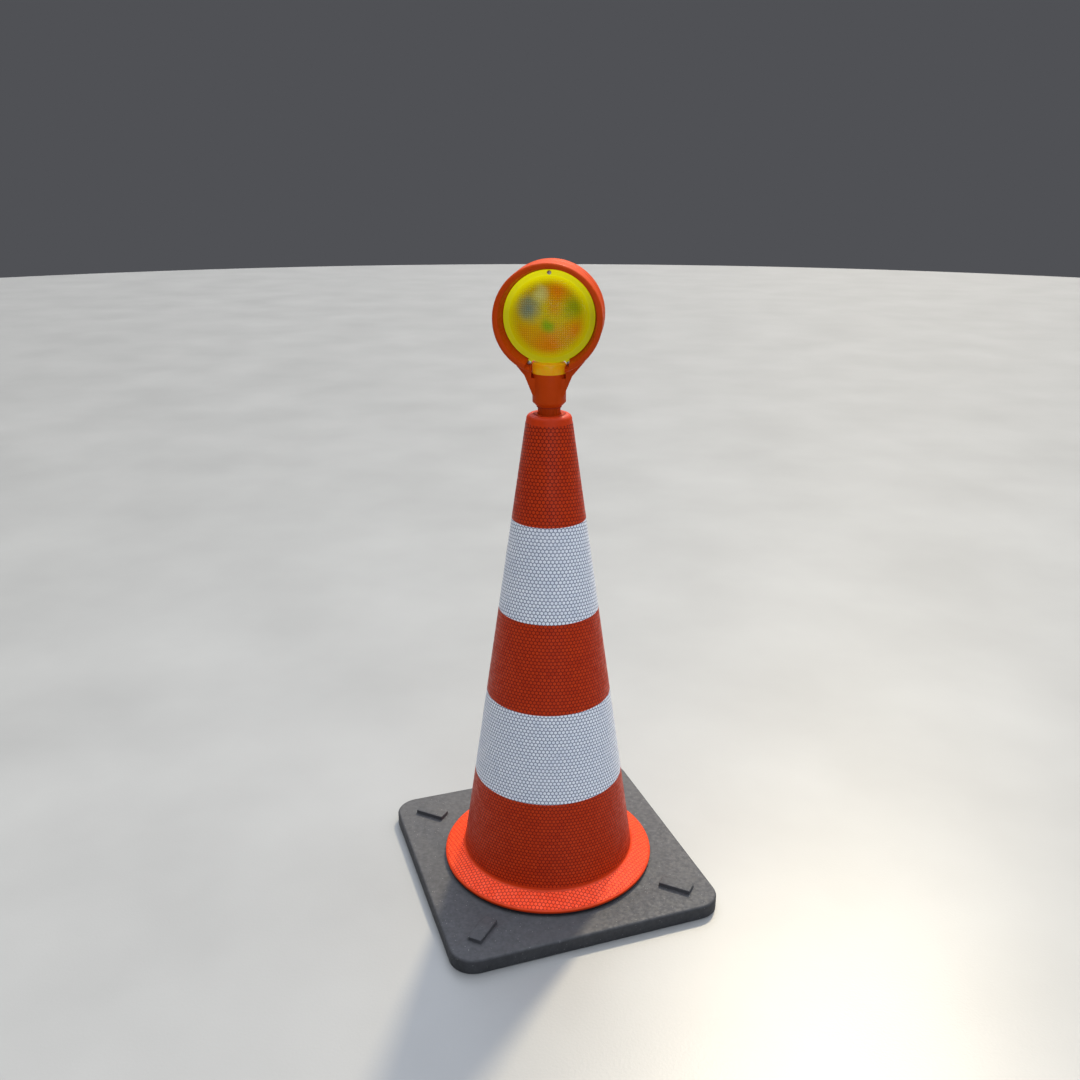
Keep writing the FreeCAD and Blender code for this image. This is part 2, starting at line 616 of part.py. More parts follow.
def lens(side):
    """Domed lens with a flat rim for its screws and a half-round foot on the neck."""
    seat = "(ledge_thickness+seal_thickness)"
    curve = "((lens_dome*lens_dome+lens_rise*lens_rise)/(2*lens_rise))"
    centre = f"lens_face+lens_rise-{curve}"
    outer = ball(f"{side}_lens_outer", curve, z="lamp_height", y=headward(centre, side))
    inner = ball(f"{side}_lens_inner", f"{curve}-lens_wall", z="lamp_height",
                 y=headward(centre, side))
    shell = cut(f"{side}_lens_shell", outer, inner)
    tube = cylinder(f"{side}_lens_tube", "lens_dome", "lens_rise+lens_edge+overrun",
                    z="lamp_height", y=headward(seat, side), way=side)
    dome = common(f"{side}_lens_dome", shell, tube)
    plate = cylinder(f"{side}_lens_plate", "lens_radius", "lens_edge", z="lamp_height",
                     y=headward(seat, side), way=side)
    hole = cylinder(f"{side}_lens_hole", "lens_dome-lens_wall", "4*lens_edge", z="lamp_height",
                    y=headward(f"{seat}-lens_edge", side), way=side)
    rim = cut(f"{side}_lens_rim", plate, hole)
    column = cylinder(f"{side}_foot_column", "foot_radius", "foot_rise", z="neck_top")
    doc.recompute()
    column = rounded(f"{side}_foot_round", column, size("foot_round"),
                     ring_edge(size("foot_radius"), size("foot_top")))
    core = cylinder(f"{side}_foot_core", "foot_radius-foot_wall",
                    "foot_rise-foot_wall+overrun", z="neck_top-overrun")
    foot = common(f"{side}_foot", cut(f"{side}_foot_shell", column, core),
                  half_space(f"{side}_foot_side", side, "board_thickness/2+slide_gap"))
    # the foot gives way to the inside of the dome
    room = common(f"{side}_dome_room",
                  ball(f"{side}_room_ball", f"{curve}-lens_wall", z="lamp_height",
                       y=headward(centre, side)),
                  cylinder(f"{side}_room_tube", "lens_dome-lens_wall", "2*lens_rise",
                           z="lamp_height", y=headward("0", side), way=side))
    whole = fuse(f"{side}_lens_whole", dome, rim, foot,
                 *ears("ear", side, "ear_radius", seat, "lens_edge"))
    holes = []
    for i, (across, up) in enumerate(screw_spots()):
        holes.append(cylinder(f"{side}_lens_ear{i}", "screw_radius", "bezel_depth/2",
                              x=across, z=f"lamp_height+({up})", way=side))
    label = "front_lens" if side == "front" else "rear_lens"
    keep(cut(f"{side}_lens_cut", whole, room, *holes), label)


def lens_seal(side):
    plate = cylinder(f"{side}_seal_plate", "lens_radius", "seal_thickness", z="lamp_height",
                     y=headward("ledge_thickness", side), way=side)
    hole = cylinder(f"{side}_seal_hole", "ledge_radius", "seal_thickness", z="lamp_height",
                    y=headward("ledge_thickness", side), way=side)
    slot = block(f"{side}_seal_slot", "2*foot_radius", "4*bezel_depth", "foot_rise+foot_wall",
                 "0", "0", "neck_top")
    holes = []
    for i, (across, up) in enumerate(screw_spots()):
        holes.append(cylinder(f"{side}_seal_ear{i}", "screw_radius", "bezel_depth/2",
                              x=across, z=f"lamp_height+({up})", way=side))
    label = "front_lens_seal" if side == "front" else "rear_lens_seal"
    keep(cut(f"{side}_seal_cut", plate, hole, slot, *holes), label)


def lens_screws(side):
    screws = []
    for i, (across, up) in enumerate(screw_spots()):
        height = f"lamp_height+({up})"
        head = cylinder(f"{side}_screw_head{i}", "screw_head", "screw_head_thickness",
                        x=across, z=height, y=headward("lens_face", side), way=side)
        shank = cylinder(f"{side}_screw_shank{i}", "screw_radius", "lens_face", x=across,
                         z=height, way=side)
        screws.append(fuse(f"{side}_screw{i}", head, shank))
    label = "front_lens_screws" if side == "front" else "rear_lens_screws"
    keep(group(f"{side}_screws", screws), label)


def web_spots():
    """Expressions for the two screws that stand out from the neck, one on each side."""
    out = "foot_radius+web_screw_out"
    height = "neck_top-web_screw_drop"
    return [(out, height), (f"-({out})", height)]


def housing_screws():
    """Screws from the back that pull the two housing halves together."""
    screws = []
    for i, (across, height) in enumerate(web_spots()):
        head = cylinder(f"web_screw_head{i}", "screw_head", "screw_head_thickness",
                        x=across, z=height, y="web_half", way="back")
        shank = cylinder(f"web_screw_shank{i}", "screw_radius", "web_half+web_screw_depth",
                         x=across, z=height, y="-web_screw_depth", way="back")
        screws.append(fuse(f"web_screw{i}", head, shank))
    keep(group("web_screws", screws), "housing_screws")


def reflector(side):
    """Shallow bright dish behind the lens, clipped inside the ledge."""
    base = "board_thickness/2"
    low = taper(f"{side}_dish_outer", "dish_flat+dish_wall", "dish_rim", "dish_rise",
                z="lamp_height", y=headward(base, side), way=side)
    hollow = taper(f"{side}_dish_inner", "dish_flat", "dish_rim-dish_wall", "dish_rise",
                   z="lamp_height", y=headward(base, side), way=side)
    web = cylinder(f"{side}_dish_edge", "dish_edge", "dish_wall", z="lamp_height",
                   y=headward(base, side), way=side)
    hole = cylinder(f"{side}_dish_hole", "dish_flat", "4*dish_wall", z="lamp_height",
                    y=headward(f"{base}-dish_wall", side), way=side)
    leads = block(f"{side}_dish_notch", "lead_slot", "4*bezel_depth", "dish_edge-dish_flat",
                  "0", "0", "lamp_height-dish_edge-overrun")
    label = "front_reflector" if side == "front" else "rear_reflector"
    keep(cut(f"{side}_dish", fuse(f"{side}_dish_solid", cut(f"{side}_dish_wall", low, hollow),
                                  web), hole, leads), label)


def light_source():
    board = cylinder("board_disc", "board_radius", "board_thickness", z="lamp_height",
                     y="board_thickness/2", way="front")
    stalk_low = "(foot_top-stalk_drop)"
    stalk = block("board_stalk", "stalk_width", "board_thickness",
                  f"lamp_height-board_radius+stalk_lap-{stalk_low}", "0", "0", stalk_low)
    keep(fuse("board_solid", board, stalk), "light_board")
    leds = []
    for side in ("front", "back"):
        for i in range(4):
            angle = 45 + 90 * i
            leds.append(cylinder(f"{side}_led{i}", "led_radius", "led_radius",
                                 x=f"led_ring*cos({angle})",
                                 z=f"lamp_height+led_ring*sin({angle})",
                                 y=headward("board_thickness/2", side), way=side))
    keep(group("led_group", leds), "leds")
    eye = cylinder("photocell_can", "led_radius", "2*led_radius", z="lamp_height",
                   y="-board_thickness/2", way="front")
    keep(eye, "photocell")
    leads = []
    for i, across in enumerate(("-lead_apart", "lead_apart")):
        leads.append(cylinder(f"lead{i}", "lead_radius", "foot_top-foot_wall-stem_top+lead_joint",
                              x=across, y="board_thickness/2+lead_radius",
                              z="stem_top-lead_joint-slide_gap"))
    keep(group("lead_group", leads), "lamp_leads")


def push_switch():
    """Sealed push button on the back of the neck."""
    inside = "switch_face-button_web-slide_gap"
    stem = cylinder("button_stem", "button_radius", "switch_deep+button_proud",
                    z="switch_height", y="switch_face", way="back")
    flange = cylinder("button_flange_disc", "switch_room_radius", "button_web",
                      z="switch_height", y=inside, way="back")
    waist = cylinder("button_waist", "button_radius", "button_web+slide_gap",
                     z="switch_height", y=inside, way="back")
    keep(fuse("button_solid", stem, flange, waist), "switch_button")
    # the bezel is a ring whose back is hollowed to lie on the round neck
    ring_radius = "switch_room_radius+switch_rim"
    washer = cylinder("switch_ring", ring_radius, "foot_radius/4+switch_rim",
                      z="switch_height", y="foot_radius*3/4", way="back")
    hole = cylinder("switch_ring_hole", "button_radius+slide_gap",
                    "foot_radius/4+switch_rim+2*overrun", z="switch_height",
                    y="foot_radius*3/4-overrun", way="back")
    neck = cylinder("switch_ring_neck", "foot_radius", f"2*({ring_radius}+overrun)",
                    z=f"switch_height-({ring_radius}+overrun)")
    keep(cut("switch_ring_cut", washer, hole, neck), "switch_bezel")
    keep(cylinder("switch_disc_plate", "switch_disc", "switch_disc_thickness",
                  z="switch_height", y="stem_radius+running_gap", way="back"), "switch_contact")


def stem_seal():
    """Rubber washer under the neck's mouth."""
    low = "neck_mouth-mouth_seal"
    bore = "stem_radius+rib_depth+running_gap"
    keep(turned("stem_seal", [
        (bore, low), ("neck_mouth_radius", low),
        ("neck_mouth_radius", "neck_mouth"), (bore, "neck_mouth")]))


base_plate()
retaining_ring()
cone_body()
all_sheeting()
cone_grommet()
swivel_socket()
stem_tube()
stem_cap()
battery()
driver()
for side in ("front", "back"):
    housing(side)
    lens(side)
    lens_seal(side)
    lens_screws(side)
    reflector(side)
housing_screws()
light_source()
push_switch()
stem_seal()

doc.recompute()
for thing in doc.Objects:
    if "Invalid" in thing.State or "Error" in thing.State:
        raise ValueError(f"{thing.Label}: {thing.State}")
for thing in parts:
    if thing.Shape.isNull() or not thing.Shape.isValid():
        raise ValueError(f"{thing.Label}: bad shape")

os.makedirs("parts", exist_ok=True)
for thing in parts:
    thing.Shape.exportStep(f"parts/{thing.Label}.step")
print(f"{len(parts)} sub-parts written")
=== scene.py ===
import math

import bmesh
import bpy
from mathutils import Matrix, Vector


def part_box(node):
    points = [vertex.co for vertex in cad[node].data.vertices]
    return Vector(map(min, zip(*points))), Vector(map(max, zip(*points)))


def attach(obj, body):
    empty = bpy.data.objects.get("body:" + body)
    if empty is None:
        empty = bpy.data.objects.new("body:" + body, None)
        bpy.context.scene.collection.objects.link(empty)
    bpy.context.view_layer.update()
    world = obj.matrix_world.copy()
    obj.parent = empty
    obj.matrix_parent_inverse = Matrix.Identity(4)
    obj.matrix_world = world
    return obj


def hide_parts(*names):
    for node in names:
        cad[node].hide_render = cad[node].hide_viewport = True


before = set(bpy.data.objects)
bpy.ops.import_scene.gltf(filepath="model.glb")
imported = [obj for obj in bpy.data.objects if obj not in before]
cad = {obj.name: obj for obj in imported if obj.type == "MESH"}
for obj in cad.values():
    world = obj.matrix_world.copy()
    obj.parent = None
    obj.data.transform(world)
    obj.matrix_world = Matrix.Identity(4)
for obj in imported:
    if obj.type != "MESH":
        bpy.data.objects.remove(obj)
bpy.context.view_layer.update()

# A warning lamp on a traffic cone. The lamp looks along -Y; the cone's axis is Z.
mm = 0.001

# places that the frame gives
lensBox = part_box("front_lens")
lensRadius = lensBox[1].x
lampHeight = lensBox[1].z - lensRadius
footRadius = -lensBox[0].y                       # the lens foot reaches further than the dome
footBottom = lensBox[0].z
lensSeat = -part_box("front_lens_seal")[0].y       # where the lens lies on its seal


def linear(hexColour):
    # sRGB hex to the linear colour that a socket takes
    digits = hexColour.lstrip("#")
    channels = [int(digits[i:i + 2], 16) / 255 for i in (0, 2, 4)]
    return tuple(c / 12.92 if c <= 0.04045 else ((c + 0.055) / 1.055) ** 2.4
                 for c in channels) + (1.0,)


def addNode(tree, kind, inputs=None, take=0, stops=None, **settings):
    # one shader node with its settings, inputs and links; hands back one output
    node = tree.nodes.new("ShaderNode" + kind)
    for name, value in settings.items():
        setattr(node, name, value)
    for name, value in (inputs or {}).items():
        if isinstance(value, bpy.types.NodeSocket):
            tree.links.new(value, node.inputs[name])
        else:
            node.inputs[name].default_value = linear(value) if isinstance(value, str) else value
    if stops:
        elements = node.color_ramp.elements
        while len(elements) < len(stops):
            elements.new(0.5)
        for element, (position, colour) in zip(elements, stops):
            element.position = position
            element.color = linear(colour)
    return node.outputs[take] if node.outputs else None


def newMaterial(name):
    material = bpy.data.materials.new(name)
    material.use_nodes = True
    tree = material.node_tree
    tree.nodes.clear()
    return material, tree, addNode(tree, "TexCoord", take="Object")


# camera and stage

viewpoint = {
    "turn": math.radians(5.5),        # how far round from the lamp's front it stands
    "distance": 1.4482,               # from the cone's axis, level
    "height": 1.0847,
    "tilt": math.radians(19.9),       # down from level
    "aside": math.radians(0.51),
    "lens": 35.02,
}

studio = {
    "floorRadius": 10.5, "floorPale": "#8F8F8C", "floorGrey": "#858582",
    "floorCloud": 400.0, "floorGrit": 4.0, "floorRough": 0.38,        # mm, mm and roughness
    "tentDim": "#505155", "tentBright": "#EAF1FF", "tentStrength": 3.5,
    "tentAxis": (0.04, 0.30, 0.95),             # the tent is brightest overhead, a little behind
    "tentFade": (0.50, 0.95),
    "keyColour": "#FFEFCF", "keyStrength": 2.9, "keySpread": math.radians(4.5),
    "keyFrom": (0.154, 0.638, 0.755),           # high behind and to the right
    "fillColour": "#DCE8FF", "fillPower": 26.0, "fillSize": 2.4, "fillPlace": (0.9, -2.7, 1.7),
}


def makeCamera(settings):
    turn = settings["turn"]
    camera = bpy.data.cameras.new("camera")
    camera.sensor_width = 36
    camera.lens = settings["lens"]
    eye = bpy.data.objects.new("camera", camera)
    eye.location = (settings["distance"] * math.sin(turn), -settings["distance"] * math.cos(turn),
                    settings["height"])
    eye.rotation_euler = (math.pi / 2 - settings["tilt"], 0, turn + settings["aside"])
    bpy.context.collection.objects.link(eye)
    bpy.context.scene.camera = eye


def makeFloor(settings):
    form = bmesh.new()
    bmesh.ops.create_circle(form, cap_ends=True, segments=128, radius=settings["floorRadius"])
    mesh = bpy.data.meshes.new("floor")
    form.to_mesh(mesh)
    form.free()
    floor = bpy.data.objects.new("floor", mesh)
    bpy.context.collection.objects.link(floor)
    material, tree, place = newMaterial("powerFloatedConcrete")
    cloud = addNode(tree, "TexNoise", {"Vector": place, "Scale": 1 / (settings["floorCloud"] * mm),
                                       "Detail": 4.0})
    colour = addNode(tree, "ValToRGB", {"Fac": cloud},
                     stops=[(0.3, settings["floorGrey"]), (0.7, settings["floorPale"])])
    grit = addNode(tree, "TexNoise", {"Vector": place, "Scale": 1 / (settings["floorGrit"] * mm),
                                      "Detail": 2.0})
    rise = addNode(tree, "Bump", {"Height": grit, "Distance": 0.3 * mm, "Strength": 0.4},
                   take="Normal")
    shader = addNode(tree, "BsdfPrincipled", {"Base Color": colour, "Normal": rise,
                                              "Roughness": settings["floorRough"]})
    addNode(tree, "OutputMaterial", {"Surface": shader})
    mesh.materials.append(material)


def makeLights(settings):
    world = bpy.data.worlds.new("lightTent")
    world.use_nodes = True
    tree = world.node_tree
    tree.nodes.clear()
    way = addNode(tree, "TexCoord", take="Generated")
    axis = Vector(settings["tentAxis"]).normalized()
    facing = addNode(tree, "VectorMath", {0: way, 1: axis}, take="Value", operation="DOT_PRODUCT")
    high = addNode(tree, "MapRange", {"Value": facing, "From Min": settings["tentFade"][0],
                                      "From Max": settings["tentFade"][1]})
    lit = addNode(tree, "Background", {"Color": settings["tentBright"],
                                       "Strength": settings["tentStrength"]})
    dim = addNode(tree, "Background", {"Color": settings["tentDim"], "Strength": 1.0})
    both = addNode(tree, "MixShader", {0: high, 1: dim, 2: lit})
    addNode(tree, "OutputWorld", {"Surface": both})
    bpy.context.scene.world = world

    key = bpy.data.lights.new("key", "SUN")
    key.angle = settings["keySpread"]
    key.energy = settings["keyStrength"]
    key.color = linear(settings["keyColour"])[:3]
    fill = bpy.data.lights.new("fill", "AREA")
    fill.shape = "DISK"
    fill.size = settings["fillSize"]
    fill.energy = settings["fillPower"]
    fill.color = linear(settings["fillColour"])[:3]
    aim = Vector((0, 0, lampHeight))
    for light, place, target in ((key, Vector(settings["keyFrom"]) * 4, Vector()),
                                 (fill, Vector(settings["fillPlace"]), aim)):
        thing = bpy.data.objects.new(light.name, light)
        thing.location = place
        thing.rotation_euler = (target - place).to_track_quat("-Z", "Y").to_euler()
        bpy.context.collection.objects.link(thing)
    bpy.context.scene.view_settings.view_transform = "Standard"


makeCamera(viewpoint)
makeFloor(studio)
makeLights(studio)
print("camera and stage done")


# materials

film = {
    "cell": 5.8,          # mm across flats
    "wall": 1.1,          # mm, drawn thicker than the real 0.3 so that it shows
    "orange": {"cell": "#CC3C10", "deep": "#B02A08", "wall": "#701604", "glow": 0.0},
    # painted light: the flange's film is a brighter copy of the orange film, as if lit, and glows
    "flange": {"cell": "#F04C1E", "deep": "#DC3A12", "wall": "#A01C08", "glow": 0.16},
    "white": {"cell": "#F6F8FC", "deep": "#DCE1EB", "wall": "#647085", "glow": 0.0},
}


# how much the cone narrows with height, from its lowest and highest bands
lowBand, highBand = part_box("bottom_orange_band"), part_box("top_orange_band")
coneSlope = (lowBand[1].x - highBand[1].x) / (highBand[0].z - lowBand[0].z)


def unrolledCone(tree, place):
    # the film as it was cut, flat: distance from the cone's tip, and the angle that it wraps
    tip = lowBand[0].z + lowBand[1].x / coneSlope
    away = addNode(tree, "VectorMath", {0: place, 1: (0, 0, tip)}, operation="SUBTRACT")
    reach = addNode(tree, "VectorMath", {0: away}, take="Value", operation="LENGTH")
    # a half turn puts the seam at the back
    turned = addNode(tree, "VectorMath", {0: place, 1: (1, -1, 1)}, operation="MULTIPLY")
    split = addNode(tree, "SeparateXYZ", {0: turned}).node
    angle = addNode(tree, "Math", {0: split.outputs["X"], 1: split.outputs["Y"]},
                    operation="ARCTAN2")
    wrapped = addNode(tree, "Math", {0: angle, 1: math.sin(math.atan(coneSlope))},
                      operation="MULTIPLY")
    across = addNode(tree, "Math", {0: wrapped}, operation="SINE")
    along = addNode(tree, "Math", {0: wrapped}, operation="COSINE")
    ray = addNode(tree, "CombineXYZ", {"X": across, "Y": along})
    return addNode(tree, "VectorMath", {0: ray, "Scale": reach}, operation="SCALE")


def prismFilm(name, colours, wrapped):
    # microprismatic retroreflective film: a smooth clear face over sealed honeycomb cells,
    # so each cell catches the light a little differently and the walls between look darker
    material, tree, place = newMaterial(name)
    flat = unrolledCone(tree, place) if wrapped else place
    size = addNode(tree, "VectorMath", {0: flat, "Scale": 1 / (film["cell"] * mm)},
                   operation="SCALE")
    # two interleaved grids of cell middles make the honeycomb, and the nearer middle wins
    half = Vector((0.5, math.sqrt(3) / 2, 1))
    spots, ways = [], []
    for shift in (Vector(), half):
        moved = addNode(tree, "VectorMath", {0: size, 1: shift}, operation="ADD")
        inCell = addNode(tree, "VectorMath", {0: moved, 1: half, 2: -half}, operation="WRAP")
        level = addNode(tree, "VectorMath", {0: inCell, 1: (1, 1, 0)}, operation="MULTIPLY")
        spots.append(level)
        ways.append(addNode(tree, "VectorMath", {0: level}, take="Value", operation="LENGTH"))
    second = addNode(tree, "Math", {0: ways[1], 1: ways[0]}, operation="LESS_THAN")
    inside = addNode(tree, "Mix", {0: second, 4: spots[0], 5: spots[1]}, take=1,
                     data_type="VECTOR")
    folded = addNode(tree, "VectorMath", {0: inside}, operation="ABSOLUTE")
    slanted = addNode(tree, "VectorMath", {0: folded, 1: (half.x, half.y, 0)}, take="Value",
                      operation="DOT_PRODUCT")
    level = addNode(tree, "SeparateXYZ", {0: folded}, take="X")
    reach = addNode(tree, "Math", {0: slanted, 1: level}, operation="MAXIMUM")
    edge = 0.5 - film["wall"] / film["cell"] / 2
    wall = addNode(tree, "MapRange", {"Value": reach, "From Min": edge - 0.04,
                                      "From Max": edge + 0.04})
    middle = addNode(tree, "VectorMath", {0: size, 1: inside}, operation="SUBTRACT")
    nudged = addNode(tree, "VectorMath", {0: middle, 1: (0.1, 0.1, 0)}, operation="ADD")
    cellName = addNode(tree, "VectorMath", {0: nudged, 1: (0.25, 0.25, 1)}, operation="SNAP")
    chance = addNode(tree, "TexWhiteNoise", {"Vector": cellName}, noise_dimensions="2D")

    sheen = addNode(tree, "TexNoise", {"Vector": place, "Scale": 1 / (40 * mm), "Detail": 3.0})
    uneven = addNode(tree, "Math", {0: chance, 1: sheen}, operation="MULTIPLY")
    cell = addNode(tree, "Mix", {0: uneven, 6: colours["cell"], 7: colours["deep"]}, take=2,
                   data_type="RGBA")
    colour = addNode(tree, "Mix", {0: wall, 6: cell, 7: colours["wall"]}, take=2,
                     data_type="RGBA")
    rough = addNode(tree, "MapRange", {"Value": chance, "To Min": 0.32, "To Max": 0.55})
    ripple = addNode(tree, "Bump", {"Height": sheen, "Distance": 0.6 * mm, "Strength": 0.25},
                     take="Normal")
    quilt = addNode(tree, "Bump", {"Height": wall, "Distance": 0.15 * mm, "Strength": 0.5,
                                   "Normal": ripple}, take="Normal")
    # painted light: the glow brightens the flange's film, standing in for daylight on fluorescent dye
    shader = addNode(tree, "BsdfPrincipled", {
        "Base Color": colour, "Roughness": rough, "Normal": quilt, "IOR": 1.5,
        "Specular IOR Level": 0.15, "Emission Color": colour,
        "Emission Strength": colours["glow"]})
    addNode(tree, "OutputMaterial", {"Surface": shader})
    return material


moulded = {
    # soft PVC: an orange that is dyed through, satin, with a faint bloom
    "softPvc": {"colour": "#D03A08", "shade": "#B42C04", "rough": 0.5, "grain": 0.9,
                "bloom": 0.5, "gloss": 0.2},
    # ABS from a spark-eroded mould: even fine grain, satin
    "sparkGrainAbs": {"colour": "#C64206", "shade": "#B03604", "rough": 0.5, "grain": 0.6,
                      "bloom": 0.4, "gloss": 0.08},
    # glass-filled nylon: dark, dull, with fibre flecks at the skin
    "filledNylon": {"colour": "#1D1C1B", "shade": "#302E2C", "rough": 0.55, "grain": 0.5,
                    "bloom": 0.5, "gloss": 0.2},
    # printed shrink film round the cells, without any print
    "shrinkFilm": {"colour": "#20262B", "shade": "#171B1F", "rough": 0.22, "grain": 3.0,
                   "bloom": 0.3, "gloss": 0.2},
    # extruded PVC insulation
    "leadPvc": {"colour": "#8E1610", "shade": "#700F0B", "rough": 0.4, "grain": 1.2,
                "bloom": 0.3, "gloss": 0.2},
    # soft orange rubber of the bush
    "orangeRubber": {"colour": "#A83008", "shade": "#8C2404", "rough": 0.65, "grain": 0.5,
                     "bloom": 0.6, "gloss": 0.2},
    # black nitrile rubber: matt, greys a little with age
    "nitrile": {"colour": "#191818", "shade": "#34312F", "rough": 0.68, "grain": 0.45,
                "bloom": 0.5, "gloss": 0.2},
}


def mouldedMaterial(name, settings):
    # colour clouds, roughness that handling has changed in patches, and the mould's grain
    material, tree, place = newMaterial(name)
    cloud = addNode(tree, "TexNoise", {"Vector": place, "Scale": 1 / (24 * mm), "Detail": 4.0,
                                       "Roughness": 0.6})
    much = addNode(tree, "MapRange", {"Value": cloud, "From Min": 0.4, "From Max": 0.75,
                                      "To Max": settings["bloom"]})
    colour = addNode(tree, "Mix", {0: much, 6: settings["colour"], 7: settings["shade"]},
                     take=2, data_type="RGBA")
    rubbed = addNode(tree, "TexNoise", {"Vector": place, "Scale": 1 / (9 * mm), "Detail": 3.0})
    rough = addNode(tree, "MapRange", {"Value": rubbed, "From Min": 0.3, "From Max": 0.7,
                                       "To Min": settings["rough"] - 0.08,
                                       "To Max": settings["rough"] + 0.1})
    grain = addNode(tree, "TexNoise", {"Vector": place, "Scale": 1 / (settings["grain"] * mm),
                                       "Detail": 2.0})
    skin = addNode(tree, "Bump", {"Height": grain, "Distance": 0.05 * mm, "Strength": 0.4},
                   take="Normal")
    shader = addNode(tree, "BsdfPrincipled", {"Base Color": colour, "Roughness": rough,
                                              "Normal": skin, "IOR": 1.5,
                                              "Specular IOR Level": settings["gloss"]})
    addNode(tree, "OutputMaterial", {"Surface": shader})
    return material


rubber = {
    "dark": "#343435", "mid": "#414143", "dust": "#4C4B49", "fleck": "#757471",
    "fleckSize": 3.2,     # mm between crumbs
    "fleckShare": 0.08,   # of the crumbs are pale
    "dustMost": 0.3,
}


def crumbRubber(settings):
    # reground scrap pressed into a block: dark and dull, with pale crumbs and a pitted skin
    material, tree, place = newMaterial("crumbRubber")
    mottle = addNode(tree, "TexNoise", {"Vector": place, "Scale": 1 / (12 * mm), "Detail": 5.0,
                                        "Roughness": 0.65})
    body = addNode(tree, "ValToRGB", {"Fac": mottle},
                   stops=[(0.3, settings["dark"]), (0.72, settings["mid"])])
    crumbs = addNode(tree, "TexVoronoi", {"Vector": place,
                                          "Scale": 1 / (settings["fleckSize"] * mm)}).node
    near = addNode(tree, "MapRange", {"Value": crumbs.outputs["Distance"], "From Min": 0.16,
                                      "From Max": 0.24, "To Min": 1.0, "To Max": 0.0})
    luck = addNode(tree, "SeparateXYZ", {0: crumbs.outputs["Color"]}, take="X")
    some = addNode(tree, "Math", {0: luck, 1: settings["fleckShare"]}, operation="LESS_THAN")
    fleck = addNode(tree, "Math", {0: near, 1: some}, operation="MULTIPLY")
    flecked = addNode(tree, "Mix", {0: fleck, 6: body, 7: settings["fleck"]}, take=2,
                      data_type="RGBA")
    dusty = addNode(tree, "TexNoise", {"Vector": place, "Scale": 1 / (70 * mm), "Detail": 4.0,
                                       "Roughness": 0.6})
    coat = addNode(tree, "MapRange", {"Value": dusty, "From Min": 0.45, "From Max": 0.8,
                                      "To Max": settings["dustMost"]})
    colour = addNode(tree, "Mix", {0: coat, 6: flecked, 7: settings["dust"]}, take=2,
                     data_type="RGBA")
    pits = addNode(tree, "TexNoise", {"Vector": place, "Scale": 1 / (5 * mm), "Detail": 3.0})
    rough = addNode(tree, "MapRange", {"Value": pits, "From Min": 0.3, "From Max": 0.7,
                                       "To Min": 0.6, "To Max": 0.82})
    coarse = addNode(tree, "Bump", {"Height": pits, "Distance": 0.5 * mm, "Strength": 0.3},
                     take="Normal")
    dust = addNode(tree, "TexNoise", {"Vector": place, "Scale": 1 / (0.9 * mm), "Detail": 2.0})
    fine = addNode(tree, "Bump", {"Height": dust, "Distance": 0.15 * mm, "Strength": 0.5,
                                  "Normal": coarse}, take="Normal")
    shader = addNode(tree, "BsdfPrincipled", {"Base Color": colour, "Roughness": rough,
                                              "Normal": fine, "IOR": 1.5})
    addNode(tree, "OutputMaterial", {"Surface": shader})
    return material


metals = {
    # zinc plate, blue passivated: silvery with a dull bloom
    "zincPlate": {"colour": "#BDBCB8", "dull": "#8B8A86", "rough": 0.3},
    # drawn brass strip
    "brassStrip": {"colour": "#C9A24A", "dull": "#9C7A32", "rough": 0.24},
    # aluminium evaporated on plastic: mirror-bright
    "vacuumAluminium": {"colour": "#E4E3DE", "dull": "#C4C2BA", "rough": 0.14},
}


def metalMaterial(name, settings):
    # duller patches over fine lines that the drawing or turning left
    material, tree, place = newMaterial(name)
    patch = addNode(tree, "TexNoise", {"Vector": place, "Scale": 1 / (4 * mm), "Detail": 3.0})
    much = addNode(tree, "MapRange", {"Value": patch, "From Min": 0.4, "From Max": 0.75,
                                      "To Max": 0.5})
    colour = addNode(tree, "Mix", {0: much, 6: settings["colour"], 7: settings["dull"]},
                     take=2, data_type="RGBA")
    drawn = addNode(tree, "Mapping", {"Vector": place, "Scale": (1, 1, 0.08)})
    lines = addNode(tree, "TexNoise", {"Vector": drawn, "Scale": 1 / (0.35 * mm)})
    rough = addNode(tree, "MapRange", {"Value": lines, "From Min": 0.3, "From Max": 0.7,
                                       "To Min": settings["rough"] - 0.06,
                                       "To Max": settings["rough"] + 0.12})
    skin = addNode(tree, "Bump", {"Height": lines, "Distance": 0.02 * mm, "Strength": 0.4},
                   take="Normal")
    shader = addNode(tree, "BsdfPrincipled", {"Base Color": colour, "Roughness": rough,
                                              "Normal": skin, "Metallic": 1.0})
    addNode(tree, "OutputMaterial", {"Surface": shader})
    return material


